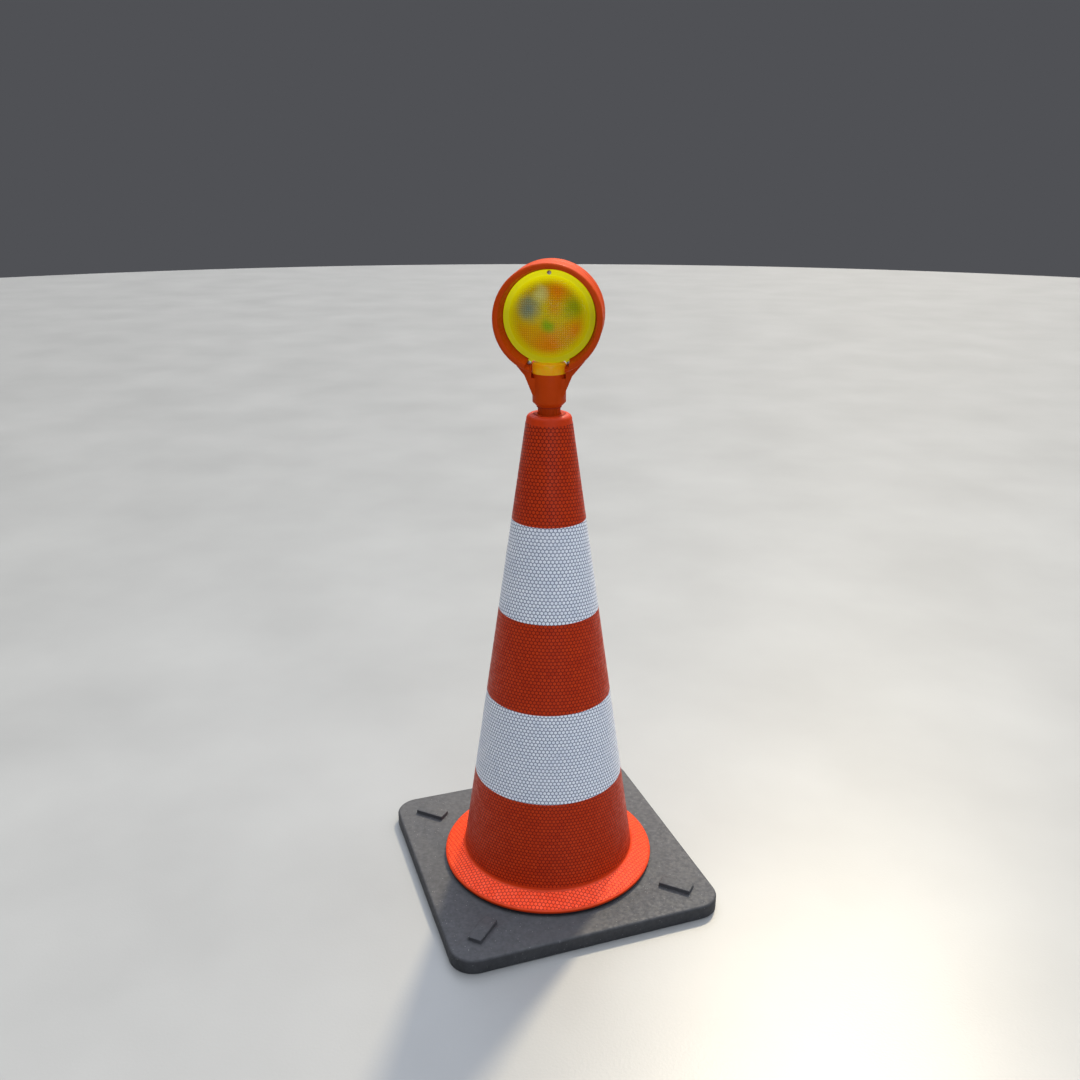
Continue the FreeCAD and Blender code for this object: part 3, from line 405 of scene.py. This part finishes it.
lensDye = {
    "rim": "#D6D60A", "field": "#C9C40C", "low": "#D0AE0A", "foot": "#E08A10",
    "fieldRadius": 53,    # mm: the prisms reach this far out
    "fade": 13,           # mm over which the field turns into the plain edge
    "pitch": 3.0,         # mm between prisms
    # painted shade in the grooves between the prisms
    "groove": "#B89A24",
    "fray": 14,           # mm by which the patches' edges wander
    # painted glow: emission that brightens the lens as light would, most at the top of its border
    "glow": 0.17,         # of the field
    "paintedGlowHeights": (5, 58),         # mm above the middle, between which the edge brightens
    "deepHeights": (-62, 40), "deepMost": 0.75,     # the border turns orange downwards
    "edgeGlow": (0.22, 0.60),       # of the plain border, low and at the top
    # painted reflections and views through the prisms, as soft patches, with painted light of the far
    # side;
    # across and up from the lens's middle, radius (mm), colour and strength
    "patches": [
        (0, -36, 44, "#DC8404", 0.9),      # the orange housing's inside, low
        (38, -16, 26, "#DE8A04", 0.85),
        (-32, -20, 24, "#D89A04", 0.7),
        (12, 36, 26, "#E68C04", 0.9),       # the housing's inside again, above
        (10, 14, 16, "#D49408", 0.7),
        # painted light
        (-27, 13, 24, "#6C8478", 0.9),      # the grey light of the far side
        (34, 14, 22, "#8EA40E", 0.8),       # the reflector's green edge
        (1, -9, 14, "#86B00A", 0.9),        # the light board
        # painted highlight
        (-10, 32, 15, "#D6DC90", 0.75),     # the brightest of the reflector
    ],
}


def lensAcrylic(name, settings, foot=False):
    # cast acrylic, dyed amber: glossy, half clear, lime and orange, under painted reflections and glow
    material, tree, place = newMaterial(name)
    centred = addNode(tree, "Mapping", {"Vector": place, "Location": (0, 0, -lampHeight)})
    flat = addNode(tree, "VectorMath", {0: centred, 1: (1, 0, 1)}, operation="MULTIPLY")
    if foot:
        cloud = addNode(tree, "TexNoise", {"Vector": place, "Scale": 1 / (9 * mm)})
        colour = addNode(tree, "Mix", {0: cloud, 6: settings["foot"], 7: settings["low"]},
                         take=2, data_type="RGBA")
        # painted glow on the foot, as on the border's low edge
        glow = settings["edgeGlow"][0]
    else:
        cloud = addNode(tree, "TexNoise", {"Vector": place, "Scale": 1 / (16 * mm),
                                           "Detail": 3.0})
        field = addNode(tree, "Mix", {0: cloud, 6: settings["field"], 7: settings["low"]},
                        take=2, data_type="RGBA")
        # painted reflections and views through the prisms, laid over the dye
        for x, z, radius, patch, strength in settings["patches"]:
            gap = addNode(tree, "VectorMath", {0: flat, 1: (x * mm, 0, z * mm)}, take="Value",
                          operation="DISTANCE")
            frayed = addNode(tree, "Math", {0: cloud, 1: settings["fray"] * mm, 2: gap},
                             operation="MULTIPLY_ADD")
            much = addNode(tree, "MapRange", {
                "Value": frayed, "From Min": settings["fray"] / 2 * mm,
                "From Max": (radius + settings["fray"] / 2) * mm,
                "To Min": strength, "To Max": 0.0}, interpolation_type="SMOOTHSTEP")
            field = addNode(tree, "Mix", {0: much, 6: field, 7: patch}, take=2,
                            data_type="RGBA")
        # painted shade along the grooves between the prisms
        pitch = settings["pitch"] * mm
        stepped = addNode(tree, "VectorMath", {0: flat, "Scale": 1 / pitch}, operation="SCALE")
        part = addNode(tree, "VectorMath", {0: stepped}, operation="FRACTION")
        off = addNode(tree, "VectorMath", {0: part, 1: (0.5, 0.5, 0.5)}, operation="SUBTRACT")
        way = addNode(tree, "VectorMath", {0: off}, operation="ABSOLUTE")
        split = addNode(tree, "SeparateXYZ", {0: way}).node
        most = addNode(tree, "Math", {0: split.outputs["X"], 1: split.outputs["Z"]},
                       operation="MAXIMUM")
        groove = addNode(tree, "MapRange", {"Value": most, "From Min": 0.3, "From Max": 0.5,
                                            "To Max": 0.55})
        field = addNode(tree, "Mix", {0: groove, 6: field, 7: settings["groove"]}, take=2,
                        data_type="RGBA", blend_type="MULTIPLY")
        far = addNode(tree, "VectorMath", {0: flat}, take="Value", operation="LENGTH")
        outside = addNode(tree, "MapRange", {
            "Value": far, "From Min": (settings["fieldRadius"] - settings["fade"]) * mm,
            "From Max": (settings["fieldRadius"] + 4) * mm}, interpolation_type="SMOOTHSTEP")
        # the plain border is lime above and turns orange below
        height = addNode(tree, "SeparateXYZ", {0: flat}, take="Z")
        deep = addNode(tree, "MapRange", {
            "Value": height, "From Min": settings["deepHeights"][0] * mm,
            "From Max": settings["deepHeights"][1] * mm,
            "To Min": settings["deepMost"], "To Max": 0.0})
        border = addNode(tree, "Mix", {0: deep, 6: settings["rim"], 7: settings["field"]},
                         take=2, data_type="RGBA")
        colour = addNode(tree, "Mix", {0: outside, 6: field, 7: border}, take=2,
                         data_type="RGBA")
        # painted glow: emission lights the plain border, most at the top, as light through the lamp
        # would
        paintedTopGlow = addNode(tree, "MapRange", {
            "Value": height, "From Min": settings["paintedGlowHeights"][0] * mm,
            "From Max": settings["paintedGlowHeights"][1] * mm,
            "To Min": settings["edgeGlow"][0], "To Max": settings["edgeGlow"][1]})
        glow = addNode(tree, "Mix", {0: outside, 2: settings["glow"], 3: paintedTopGlow})
    rough = addNode(tree, "MapRange", {"Value": cloud, "To Min": 0.1, "To Max": 0.2})
    shader = addNode(tree, "BsdfPrincipled", {
        "Base Color": colour, "Roughness": rough, "IOR": 1.49, "Transmission Weight": 0.2,
        "Specular IOR Level": 0.15, "Emission Color": colour, "Emission Strength": glow})
    addNode(tree, "OutputMaterial", {"Surface": shader})
    return material


def ledEpoxy():
    # cast epoxy of the LEDs: clear amber, glossy
    material, tree, place = newMaterial("ledEpoxy")
    cloud = addNode(tree, "TexNoise", {"Vector": place, "Scale": 1 / (2 * mm)})
    colour = addNode(tree, "Mix", {0: cloud, 6: "#F6BE2A", 7: "#E89A10"}, take=2,
                     data_type="RGBA")
    shader = addNode(tree, "BsdfPrincipled", {"Base Color": colour, "Roughness": 0.08,
                                              "IOR": 1.55, "Transmission Weight": 0.6})
    addNode(tree, "OutputMaterial", {"Surface": shader})
    return material


def solderMask():
    # glass-epoxy board: green lacquer with copper tracks showing lighter through it
    material, tree, place = newMaterial("solderMask")
    tracks = addNode(tree, "TexBrick", {
        "Vector": place, "Scale": 1 / (9 * mm), "Color1": "#1F7A3A", "Color2": "#238A44",
        "Mortar": "#2FA356", "Mortar Size": 0.06}).node
    rise = addNode(tree, "Bump", {"Height": tracks.outputs["Fac"], "Distance": 0.04 * mm,
                                  "Strength": 0.5}, take="Normal")
    shader = addNode(tree, "BsdfPrincipled", {
        "Base Color": tracks.outputs["Color"], "Roughness": 0.3, "Normal": rise, "IOR": 1.55})
    addNode(tree, "OutputMaterial", {"Surface": shader})
    return material


finish = {name: mouldedMaterial(name, settings) for name, settings in moulded.items()}
finish.update({name: metalMaterial(name, settings) for name, settings in metals.items()})
finish["orangeFilm"] = prismFilm("orangePrismFilm", film["orange"], True)
finish["flangeFilmPaintedLit"] = prismFilm("flangePrismFilmPaintedLit", film["flange"], False)
finish["whiteFilm"] = prismFilm("whitePrismFilm", film["white"], True)
finish["crumbRubber"] = crumbRubber(rubber)
finish["lensAcrylic"] = lensAcrylic("lensAcrylic", lensDye)
finish["footAcrylic"] = lensAcrylic("footAcrylic", lensDye, foot=True)
finish["ledEpoxy"] = ledEpoxy()
finish["solderMask"] = solderMask()

madeOf = {
    "crumbRubber": ["base_plate"],
    "filledNylon": ["retaining_ring", "switch_bezel", "driver_parts", "photocell"],
    "softPvc": ["cone_body"],
    "orangeFilm": ["top_orange_band", "middle_orange_band", "bottom_orange_band"],
    "flangeFilmPaintedLit": ["flange_band"],
    "whiteFilm": ["upper_white_band", "lower_white_band"],
    # the stem seal stands where only a line of shade shows under the neck: its darker orange is partly
    # painted shade
    "orangeRubber": ["cone_grommet", "stem_seal"],
    "sparkGrainAbs": ["swivel_socket", "stem_tube", "stem_cap", "front_housing",
                      "rear_housing"],
    "nitrile": ["cap_seal", "front_lens_seal", "rear_lens_seal", "switch_button"],
    "zincPlate": ["battery_spring", "switch_contact", "front_lens_screws", "rear_lens_screws",
                  "housing_screws"],
    "brassStrip": ["top_contact"],
    "vacuumAluminium": ["front_reflector", "rear_reflector"],
    "shrinkFilm": ["battery_cells"],
    "ledEpoxy": ["leds"],
    "lensAcrylic": ["front_lens", "rear_lens"],
    "solderMask": ["light_board", "driver_board"],
    "leadPvc": ["lamp_leads"],
}
for finishName, nodeNames in madeOf.items():
    for nodeName in nodeNames:
        slots = cad[nodeName].data.materials
        slots.clear()
        slots.append(finish[finishName])
print("materials done")


# detailed pieces

def addPiece(name, form, body, material, replaced=(), sharpAngle=35):
    # turns a finished bmesh into a piece that rides on a body
    mesh = bpy.data.meshes.new(name)
    form.to_mesh(mesh)
    form.free()
    mesh.materials.append(finish[material])
    mesh.shade_smooth()
    mesh.set_sharp_from_angle(angle=math.radians(sharpAngle))
    piece = bpy.data.objects.new(name, mesh)
    bpy.context.collection.objects.link(piece)
    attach(piece, body)
    if replaced:
        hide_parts(*replaced)
    return piece


def spunAbout(form, verts, axis, centre, steps=96, angle=math.tau):
    # turns a chain of vertices about an axis; its faces come out pointing outwards
    edges = [edge for edge in form.edges if edge.verts[0] in verts and edge.verts[1] in verts]
    before = set(form.faces)
    full = abs(angle - math.tau) < 1e-6
    bmesh.ops.spin(form, geom=list(verts) + edges, cent=centre, axis=axis, angle=angle,
                   steps=steps, use_merge=full, use_duplicate=False)
    bmesh.ops.remove_doubles(form, verts=form.verts, dist=0.005 * mm)
    made = [face for face in form.faces if face not in before]
    bmesh.ops.recalc_face_normals(form, faces=made)
    return made


def chain(form, points, closed=True):
    # a few vertices joined in a line
    verts = [form.verts.new(point) for point in points]
    pairs = list(zip(verts, verts[1:])) + ([(verts[-1], verts[0])] if closed else [])
    for pair in pairs:
        form.edges.new(pair)
    return verts


lensShape = {
    "rim": lensRadius / mm, "bead": 0.7, "seat": lensSeat / mm, "land": 8.0, "rise": 17.0,
    "wall": 2.5, "prismHeight": 0.8, "skirt": 0.7, "trimCuts": 48,
    "earRadius": 3.0, "earSteps": (0.31, 1.0),      # an ear is two rounds, from the rim out
    "beadSteps": 6, "domeSteps": 14, "landRise": 0.05, "domeFoot": 0.8,
}
lensShape["dome"] = lensShape["rim"] - lensShape["land"]
lensShape["face"] = lensShape["seat"] + lensShape["wall"]

# the middles of the lens screws, across and up from the lens's middle (mm)
screwHead = 2.8       # radius of every screw's head, mm
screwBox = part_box("front_lens_screws")
lowAcross = screwBox[1].x / mm - screwHead
lowUp = (screwBox[0].z - lampHeight) / mm + screwHead
topUp = (screwBox[1].z - lampHeight) / mm - screwHead


def domeHeight(radius, settings):
    # how far forward the dome's outside is, this far from the lens's middle
    dome, rise = settings["dome"], settings["rise"]
    curve = (dome * dome + rise * rise) / (2 * rise)
    return settings["face"] + rise - curve + math.sqrt(max(0.0, curve * curve - radius * radius))


def makeLens(side, sign):
    # a spun dome with a beaded rim, and a field of small square prisms on it
    settings = lensShape
    form = bmesh.new()
    centre = Vector((0, 0, lampHeight))
    rim, bead, wall = settings["rim"], settings["bead"], settings["wall"]
    profile = [(rim, settings["seat"]), (rim, settings["face"])]
    for step in range(1, settings["beadSteps"]):
        turn = math.pi * step / settings["beadSteps"]
        profile.append((rim - bead + bead * math.cos(turn),
                        settings["face"] + bead * math.sin(turn)))
    land = settings["face"] + settings["landRise"]
    profile += [(rim - 2 * bead, land), (settings["dome"] + settings["domeFoot"], land)]
    domeSteps = settings["domeSteps"]
    for step in range(domeSteps + 1):
        radius = settings["dome"] * math.cos(math.pi / 2 * step / domeSteps)
        profile.append((radius, domeHeight(radius, settings)))
    for step in range(domeSteps, -1, -1):
        radius = (settings["dome"] - wall) * math.cos(math.pi / 2 * step / domeSteps)
        profile.append((radius, domeHeight(radius, settings) - wall))
    profile.append((settings["dome"] - wall, settings["seat"]))
    verts = chain(form, [centre + Vector((radius * mm, -out * mm, 0)) for radius, out in profile])
    spunAbout(form, verts, (0, 1, 0), centre)

    # prisms: a grid of square faces, each raised to a point, cut round and laid on the dome
    pitch = lensDye["pitch"]
    across = 2 * math.ceil(lensDye["fieldRadius"] / pitch)
    field = bmesh.new()
    bmesh.ops.create_grid(field, x_segments=across, y_segments=across, size=across * pitch / 2)
    bmesh.ops.poke(field, faces=field.faces, offset=settings["prismHeight"])
    for step in range(settings["trimCuts"]):
        turn = math.tau * step / settings["trimCuts"]
        outward = Vector((math.cos(turn), math.sin(turn), 0))
        bmesh.ops.bisect_plane(field, geom=field.verts[:] + field.edges[:] + field.faces[:],
                               plane_co=outward * (lensDye["fieldRadius"] - 1),
                               plane_no=outward, clear_outer=True)
    border = [edge for edge in field.edges if edge.is_boundary]
    skirt = bmesh.ops.extrude_edge_only(field, edges=border)["geom"]
    for vert in skirt:
        if isinstance(vert, bmesh.types.BMVert):
            vert.co.z -= settings["skirt"]
    bmesh.ops.holes_fill(field, edges=[edge for edge in field.edges if edge.is_boundary])
    for vert in field.verts:
        radius = math.hypot(vert.co.x, vert.co.y)
        out = domeHeight(radius, settings) + vert.co.z
        vert.co = centre + Vector((vert.co.x, -out, vert.co.y)) * mm
    bmesh.ops.recalc_face_normals(field, faces=field.faces)
    patch = bpy.data.meshes.new("prisms")
    field.to_mesh(patch)
    field.free()
    form.from_mesh(patch)
    bpy.data.meshes.remove(patch)

    # low ears, out past the rim, for two of the screws
    reach = math.hypot(lowAcross, lowUp)
    for hand in (-1, 1):
        for share in settings["earSteps"]:
            ring = rim - 1 + (reach - rim + 1) * share
            spot = Vector((hand * lowAcross, 0, lowUp)) * (ring / reach) * mm
            middle = centre + spot + Vector((0, -(settings["seat"] + wall / 2) * mm, 0))
            bmesh.ops.create_cone(form, cap_ends=True, segments=32,
                                  radius1=settings["earRadius"] * mm,
                                  radius2=settings["earRadius"] * mm, depth=wall * mm,
                                  matrix=Matrix.Translation(middle)
                                  @ Matrix.Rotation(math.pi / 2, 4, "X"))
    if sign > 0:
        bmesh.ops.scale(form, vec=(1, -1, 1), verts=form.verts)
        bmesh.ops.reverse_faces(form, faces=form.faces)
    addPiece(side + "LensDome", form, "lamp", "lensAcrylic", [side + "_lens"], 20)


footLap = 1.0         # mm that the foot reaches past the lens's lowest point
footShape = {"radius": footRadius / mm, "top": (lampHeight - lensRadius) / mm + footLap,
             "bottom": footBottom / mm, "round": 3.6, "wall": 2.5, "apart": 1.2}


def makeFoot(side, sign):
    # half of a shallow round pot that stands on the neck, below the dome
    settings = footShape
    radius, top, low = settings["radius"], settings["top"], settings["bottom"]
    bend, wall = settings["round"], settings["wall"]
    profile = [(radius, low)]
    for step in range(7):
        turn = math.pi / 2 * step / 6
        profile.append((radius - bend + bend * math.cos(turn), top - bend + bend * math.sin(turn)))
    profile += [(0.0, top), (0.0, top - wall), (radius - wall, top - wall), (radius - wall, low)]
    form = bmesh.new()
    verts = chain(form, [Vector((r * mm, 0, z * mm)) for r, z in profile])
    spunAbout(form, verts, (0, 0, 1), Vector(), steps=72)
    edge = Vector((0, sign * settings["apart"] * mm, 0))
    bmesh.ops.bisect_plane(form, geom=form.verts[:] + form.edges[:] + form.faces[:],
                           plane_co=edge, plane_no=(0, -sign, 0), clear_outer=True)
    bmesh.ops.holes_fill(form, edges=[e for e in form.edges if e.is_boundary])
    bmesh.ops.recalc_face_normals(form, faces=form.faces)
    addPiece(side + "LensFoot", form, "lamp", "footAcrylic", [side + "_lens"])


panScrew = {"cells": 10, "crown": 0.72, "recess": 1.1, "armCells": 3, "armHalf": 1.1,
            "firstTurn": 0.7, "nextTurn": 1.9}       # radians


def makeScrews(name, material, replaced, spots, way, seatOut, headRadius, headHeight,
               shankRadius, shankLength):
    # pan-head screws with a cross recess; way is the direction that the heads face
    settings = panScrew
    form = bmesh.new()
    turn = Vector((0, 0, 1)).rotation_difference(Vector(way))
    for number, spot in enumerate(spots):
        head = bmesh.new()
        cells = settings["cells"]
        bmesh.ops.create_grid(head, x_segments=cells, y_segments=cells, size=1)
        cross = []
        for face in head.faces:
            x, y = abs(face.calc_center_median().x), abs(face.calc_center_median().y)
            if min(x, y) < settings["armHalf"] / cells and max(x, y) < settings["armCells"] * 2 / cells:
                cross.append(face)
        # the square grid becomes round
        for vert in head.verts:
            x, y = vert.co.x, vert.co.y
            vert.co.x = x * math.sqrt(1 - y * y / 2) * headRadius
            vert.co.y = y * math.sqrt(1 - x * x / 2) * headRadius
        for vert in head.verts:
            away = math.hypot(vert.co.x, vert.co.y) / headRadius
            vert.co.z = headHeight - settings["crown"] * away ** 2.5
        sunk = bmesh.ops.extrude_face_region(head, geom=cross)
        for item in sunk["geom"]:
            if isinstance(item, bmesh.types.BMVert):
                item.co.z -= settings["recess"]
        bmesh.ops.delete(head, geom=cross, context="FACES")
        # the head's side, the seat under it and the shank
        for scale, low in ((1.0, 0.0), (shankRadius / headRadius, 0.0),
                           (1.0, -shankLength)):
            border = [edge for edge in head.edges if edge.is_boundary]
            grown = bmesh.ops.extrude_edge_only(head, edges=border)["geom"]
            for item in grown:
                if isinstance(item, bmesh.types.BMVert):
                    item.co = Vector((item.co.x * scale, item.co.y * scale, low))
        bmesh.ops.holes_fill(head, edges=[edge for edge in head.edges if edge.is_boundary])
        bmesh.ops.recalc_face_normals(head, faces=head.faces)
        # each was left at a different angle by the screwdriver
        spin = Matrix.Rotation(settings["firstTurn"] + settings["nextTurn"] * number, 3, "Z")
        for vert in head.verts:
            vert.co = Vector(spot) + turn @ (spin @ vert.co + Vector((0, 0, seatOut))) * mm
        part = bpy.data.meshes.new("screw")
        head.to_mesh(part)
        head.free()
        form.from_mesh(part)
        bpy.data.meshes.remove(part)
    addPiece(name, form, "lamp", material, replaced, 40)


lensScrews = {"head": screwHead, "height": 2.0, "shank": 1.45, "face": lensShape["face"],
              "shortBy": 0.1}
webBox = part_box("housing_screws")
webScrews = {"out": webBox[1].x / mm - screwHead,
             "height": (webBox[0].z + webBox[1].z) / 2 / mm,
             "seat": webBox[1].y / mm - lensScrews["height"], "reach": -webBox[0].y / mm - 0.5}

for side, sign in (("front", -1), ("rear", 1)):
    makeLens(side, sign)
    makeFoot(side, sign)
    spots = [(0, 0, lampHeight + topUp * mm)]
    for hand in (-1, 1):
        spots.append((hand * lowAcross * mm, 0, lampHeight + lowUp * mm))
    makeScrews(side + "LensPanScrews", "zincPlate", [side + "_lens_screws"], spots,
               (0, sign, 0), lensScrews["face"], lensScrews["head"], lensScrews["height"],
               lensScrews["shank"], lensScrews["face"] - lensScrews["shortBy"])
makeScrews("housingPanScrews", "zincPlate", ["housing_screws"],
           [(hand * webScrews["out"] * mm, 0, webScrews["height"] * mm) for hand in (-1, 1)],
           (0, 1, 0), webScrews["seat"], lensScrews["head"], lensScrews["height"],
           lensScrews["shank"], webScrews["seat"] + webScrews["reach"])
print("lenses and screws done")


seams = {"width": math.radians(7), "thick": 0.35, "sunk": 0.1, "middle": math.pi / 2, "steps": 4}


def makeFilmSeams():
    # each band's end laps over its start, down the back of the cone
    for node, material, slotName in (
            ("top_orange_band", "orangeFilm", "orange_sheeting"),
            ("upper_white_band", "whiteFilm", "white_sheeting"),
            ("middle_orange_band", "orangeFilm", "orange_sheeting"),
            ("lower_white_band", "whiteFilm", "white_sheeting"),
            ("bottom_orange_band", "orangeFilm", "orange_sheeting")):
        low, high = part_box(node)
        lowRadius = high.x
        topRadius = lowRadius - coneSlope * (high.z - low.z)
        lift = seams["thick"] * mm
        sunk = seams["sunk"] * mm
        points = [(lowRadius - sunk, low.z), (lowRadius + lift, low.z),
                  (topRadius + lift, high.z), (topRadius - sunk, high.z)]
        form = bmesh.new()
        begin = seams["middle"] - seams["width"] / 2
        verts = chain(form, [(r * math.cos(begin), r * math.sin(begin), z) for r, z in points])
        spunAbout(form, verts, (0, 0, 1), Vector(), steps=seams["steps"],
                  angle=seams["width"])
        bmesh.ops.holes_fill(form, edges=[edge for edge in form.edges if edge.is_boundary])
        bmesh.ops.recalc_face_normals(form, faces=form.faces)
        name = "".join(word.capitalize() for word in node.split("_")[:2]) + "Seam"
        addPiece(name[0].lower() + name[1:], form, "stand", material)


rounding = {"weld": 0.004, "flatAngle": math.radians(0.6), "crispAngle": math.radians(38),
            "shortest": 0.2}      # mm: shorter edges stay as they are

softened = {
    # node: (new name, body, material, slot, width of the rounded edge in mm)
    "base_plate": ("mouldedBase", "stand", "crumbRubber", "recycled_rubber", 1.4),
    "front_housing": ("frontShell", "lamp", "sparkGrainAbs", "lamp_orange", 0.7),
    "rear_housing": ("rearShell", "lamp", "sparkGrainAbs", "lamp_orange", 0.7),
    "cone_body": ("mouldedCone", "stand", "softPvc", "cone_pvc", 1.0),
}


def makeSoftened():
    # moulded pieces have no knife edges: a copy of the CAD mesh gets its edges rounded
    for node, (name, body, material, slotName, width) in softened.items():
        form = bmesh.new()
        form.from_mesh(cad[node].data)
        bmesh.ops.remove_doubles(form, verts=form.verts, dist=rounding["weld"] * mm)
        bmesh.ops.dissolve_limit(form, angle_limit=rounding["flatAngle"], verts=form.verts,
                                 edges=form.edges, delimit={"NORMAL"})
        crisp = [edge for edge in form.edges
                 if len(edge.link_faces) == 2 and edge.calc_face_angle(0) > rounding["crispAngle"]
                 and edge.calc_length() > rounding["shortest"] * mm]
        bmesh.ops.bevel(form, geom=crisp, offset=width * mm, offset_type="OFFSET", segments=2,
                        profile=0.5, affect="EDGES", clamp_overlap=True, material=-1)
        addPiece(name, form, body, material, [node], 40)


makeFilmSeams()
makeSoftened()
print("seams and moulded edges done")
